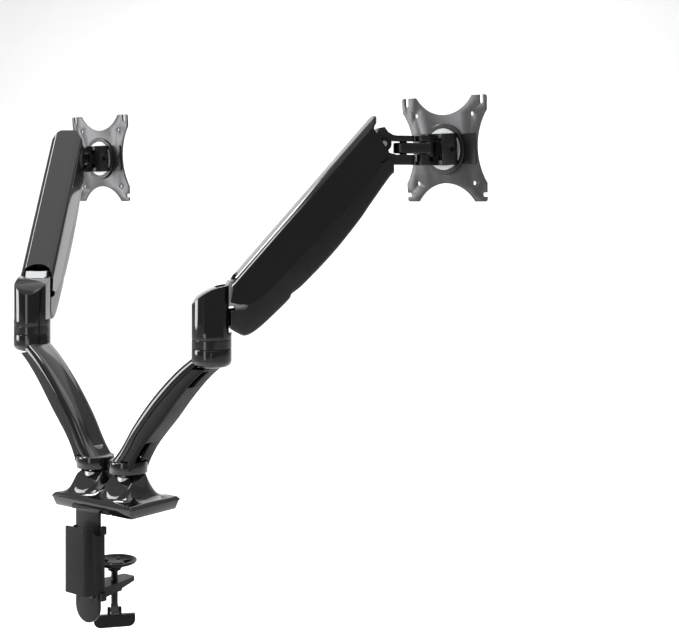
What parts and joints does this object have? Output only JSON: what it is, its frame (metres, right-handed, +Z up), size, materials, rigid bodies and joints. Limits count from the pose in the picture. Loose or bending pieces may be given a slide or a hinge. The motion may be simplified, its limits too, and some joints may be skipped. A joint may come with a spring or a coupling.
{
  "type": "dual monitor arm",
  "caption": "Desk-clamp monitor arm: folding parallelogram arms with gas springs rise from a shared flared base to tilting, turning display plates.",
  "frame": {"origin": "on the desk surface under the base, midway between the two base swivel axes", "axes": "+X along the desk's rear edge, +Y towards the person at the desk, +Z up"},
  "size_m": [0.6666, 0.2888, 0.5807],
  "materials": {
    "black_thread": "black oxide, oiled",
    "cast_metal": "as cast, lightly blasted",
    "dark_screws": "black oxide",
    "gloss_metal": "gloss black paint",
    "gloss_shell": "piano-gloss black",
    "matte_plastic": "fine moulded grain",
    "pad_rubber": "closed-cell foam rubber",
    "plain_steel": "turned bright",
    "plate_steel": "thin dark grey lacquer over rolled steel",
    "satin_black": "fine satin black paint",
    "satin_steel": "black powder coat"
  },
  "bodies": {
    "base": {"base_cover": "gloss_shell", "base_casting": "cast_metal", "desk_pad": "pad_rubber", "clamp_bracket": "satin_steel", "base_bolts": "dark_screws", "lower_jaw": "satin_steel", "jaw_bolts": "dark_screws", "cable_clip": "matte_plastic"},
    "clamp_pad": {"clamp_pad": "satin_steel"},
    "clamp_screw": {"clamp_screw": "black_thread", "handle_pin": "dark_screws"},
    "clamp_handle": {"clamp_handle": "matte_plastic"},
    "lower_arm_right": {"lower_arm_beam_right": "gloss_metal", "lower_arm_cable_cover_right": "matte_plastic", "elbow_post_right": "plain_steel", "elbow_ring_right": "gloss_shell"},
    "yoke_right": {"yoke_cover_right": "gloss_metal", "yoke_core_right": "cast_metal", "yoke_pins_right": "plain_steel"},
    "upper_arm_right": {"upper_arm_link_right": "cast_metal", "upper_arm_cover_right": "gloss_shell"},
    "lower_link_right": {"lower_arm_link_right": "satin_black"},
    "spring_cylinder_right": {"gas_spring_cylinder_right": "satin_steel"},
    "spring_rod_right": {"gas_spring_rod_right": "plain_steel"},
    "fork_right": {"arm_fork_right": "satin_black", "fork_pins_right": "plain_steel", "link_pin_right": "dark_screws"},
    "link_right": {"swivel_link_right": "satin_black"},
    "knuckle_right": {"head_knuckle_right": "satin_black", "head_pin_right": "dark_screws"},
    "tilt_head_right": {"tilt_bracket_right": "cast_metal", "tilt_barrel_right": "satin_black", "tilt_bolt_right": "dark_screws"},
    "plate_right": {"vesa_plate_right": "plate_steel", "hub_ring_right": "satin_black", "plate_stiffeners_right": "satin_steel"},
    "lower_arm_left": {"lower_arm_beam_left": "gloss_metal", "lower_arm_cable_cover_left": "matte_plastic", "elbow_post_left": "plain_steel", "elbow_ring_left": "gloss_shell"},
    "yoke_left": {"yoke_cover_left": "gloss_metal", "yoke_core_left": "cast_metal", "yoke_pins_left": "plain_steel"},
    "upper_arm_left": {"upper_arm_link_left": "cast_metal", "upper_arm_cover_left": "gloss_shell"},
    "lower_link_left": {"lower_arm_link_left": "satin_black"},
    "spring_cylinder_left": {"gas_spring_cylinder_left": "satin_steel"},
    "spring_rod_left": {"gas_spring_rod_left": "plain_steel"},
    "fork_left": {"arm_fork_left": "satin_black", "fork_pins_left": "plain_steel", "link_pin_left": "dark_screws"},
    "link_left": {"swivel_link_left": "satin_black"},
    "knuckle_left": {"head_knuckle_left": "satin_black", "head_pin_left": "dark_screws"},
    "tilt_head_left": {"tilt_bracket_left": "cast_metal", "tilt_barrel_left": "satin_black", "tilt_bolt_left": "dark_screws"},
    "plate_left": {"vesa_plate_left": "plate_steel", "hub_ring_left": "satin_black", "plate_stiffeners_left": "satin_steel"}
  },
  "joints": [
    {"name": "clamp_lift", "type": "slide", "parent": "base", "child": "clamp_pad", "axis": [0, 0, 1], "range_m": [-0.008, 0.015]},
    {"name": "clamp_screw_turn", "type": "hinge", "parent": "clamp_pad", "child": "clamp_screw", "pos_m": [0, 0.004, -0.1], "axis": [0, 0, 1], "range_deg": [-1921, 3601]},
    {"name": "handle_fold", "type": "hinge", "parent": "clamp_screw", "child": "clamp_handle", "pos_m": [0, 0.004, -0.1125], "axis": [0.6293, 0.7771, 0], "range_deg": [-90, 90]},
    {"name": "base_swivel_right", "type": "hinge", "parent": "base", "child": "lower_arm_right", "pos_m": [0.026, 0, 0.05], "axis": [0, 0, 1], "range_deg": [-97.1, 82.9]},
    {"name": "elbow_swivel_right", "type": "hinge", "parent": "lower_arm_right", "child": "yoke_right", "pos_m": [0.13575, 0.01367, 0.19], "axis": [0, 0, 1], "range_deg": [-131.5, 48.5]},
    {"name": "lift_right", "type": "hinge", "parent": "yoke_right", "child": "upper_arm_right", "pos_m": [0.1589, 0.03992, 0.236], "axis": [0.7501, -0.6613, 0], "range_deg": [-75, 0]},
    {"name": "lower_link_pivot_right", "type": "hinge", "parent": "yoke_right", "child": "lower_link_right", "pos_m": [0.1589, 0.03992, 0.21], "axis": [0.7501, -0.6613, 0], "range_deg": [-75.5, 0.5]},
    {"name": "spring_pivot_right", "type": "hinge", "parent": "upper_arm_right", "child": "spring_cylinder_right", "pos_m": [0.22576, 0.11577, 0.3468], "axis": [0.7501, -0.6613, 0], "range_deg": [-2, 2]},
    {"name": "spring_stroke_right", "type": "slide", "parent": "spring_cylinder_right", "child": "spring_rod_right", "axis": [0.4286, 0.4862, 0.7615], "range_m": [-0.0005, 0.0105]},
    {"name": "fork_level_right", "type": "hinge", "parent": "upper_arm_right", "child": "fork_right", "pos_m": [0.25545, 0.14944, 0.396], "axis": [0.7501, -0.6613, 0], "range_deg": [-0.5, 75.5]},
    {"name": "link_swivel_right", "type": "hinge", "parent": "fork_right", "child": "link_right", "pos_m": [0.27132, 0.16744, 0.3915], "axis": [0, 0, 1], "range_deg": [-60, 60]},
    {"name": "head_swivel_right", "type": "hinge", "parent": "link_right", "child": "knuckle_right", "pos_m": [0.28605, 0.18432, 0.3915], "axis": [0, 0, -1], "range_deg": [-52, 128]},
    {"name": "tilt_right", "type": "hinge", "parent": "knuckle_right", "child": "tilt_head_right", "pos_m": [0.28756, 0.21228, 0.3915], "axis": [-0.9985, 0.0541, 0], "range_deg": [-26.4, 33.6]},
    {"name": "plate_turn_right", "type": "hinge", "parent": "tilt_head_right", "child": "plate_right", "pos_m": [0.28826, 0.22524, 0.39232], "axis": [0.054, 0.9966, 0.0628], "range_deg": [-180, 180]},
    {"name": "base_swivel_left", "type": "hinge", "parent": "base", "child": "lower_arm_left", "pos_m": [-0.026, 0, 0.05], "axis": [0, 0, 1], "range_deg": [-88.35, 91.65]},
    {"name": "elbow_swivel_left", "type": "hinge", "parent": "lower_arm_left", "child": "yoke_left", "pos_m": [-0.13655, 0.00318, 0.19], "axis": [0, 0, 1], "range_deg": [-36.85, 143.15]},
    {"name": "lift_left", "type": "hinge", "parent": "yoke_left", "child": "upper_arm_left", "pos_m": [-0.15673, 0.03179, 0.236], "axis": [0.8171, 0.5764, 0], "range_deg": [-75, 0]},
    {"name": "lower_link_pivot_left", "type": "hinge", "parent": "yoke_left", "child": "lower_link_left", "pos_m": [-0.15673, 0.03179, 0.21], "axis": [0.8171, 0.5764, 0], "range_deg": [-75.5, 0.5]},
    {"name": "spring_pivot_left", "type": "hinge", "parent": "upper_arm_left", "child": "spring_cylinder_left", "pos_m": [-0.21501, 0.1144, 0.3468], "axis": [0.8171, 0.5764, 0], "range_deg": [-2, 2]},
    {"name": "spring_stroke_left", "type": "slide", "parent": "spring_cylinder_left", "child": "spring_rod_left", "axis": [-0.3736, 0.5296, 0.7615], "range_m": [-0.0005, 0.0105]},
    {"name": "fork_level_left", "type": "hinge", "parent": "upper_arm_left", "child": "fork_left", "pos_m": [-0.24089, 0.15109, 0.396], "axis": [0.8171, 0.5764, 0], "range_deg": [-0.5, 75.5]},
    {"name": "link_swivel_left", "type": "hinge", "parent": "fork_left", "child": "link_left", "pos_m": [-0.25472, 0.1707, 0.3915], "axis": [0, 0, 1], "range_deg": [-60, 60]},
    {"name": "head_swivel_left", "type": "hinge", "parent": "link_left", "child": "knuckle_left", "pos_m": [-0.26757, 0.18905, 0.3915], "axis": [0, 0, -1], "range_deg": [-127.8, 52.2]},
    {"name": "tilt_left", "type": "hinge", "parent": "knuckle_left", "child": "tilt_head_left", "pos_m": [-0.2662, 0.21702, 0.3915], "axis": [-0.9988, 0.0489, 0], "range_deg": [-26.4, 33.6]},
    {"name": "plate_turn_left", "type": "hinge", "parent": "tilt_head_left", "child": "plate_left", "pos_m": [-0.26557, 0.22997, 0.39232], "axis": [0.0488, 0.9968, 0.0628], "range_deg": [-180, 180]}
  ],
  "couplings": [
    {"joint": "clamp_screw_turn", "follows": "clamp_lift", "rad_per_m": 4188.8},
    {"joint": "lower_link_pivot_right", "follows": "lift_right", "ratio": 1},
    {"joint": "spring_pivot_right", "follows": "lift_right", "ratio": -0.014413},
    {"joint": "spring_stroke_right", "follows": "lift_right", "m_per_rad": -0.0070667},
    {"joint": "fork_level_right", "follows": "lift_right", "ratio": -1},
    {"joint": "lower_link_pivot_left", "follows": "lift_left", "ratio": 1},
    {"joint": "spring_pivot_left", "follows": "lift_left", "ratio": -0.014413},
    {"joint": "spring_stroke_left", "follows": "lift_left", "m_per_rad": -0.0070667},
    {"joint": "fork_level_left", "follows": "lift_left", "ratio": -1}
  ]
}
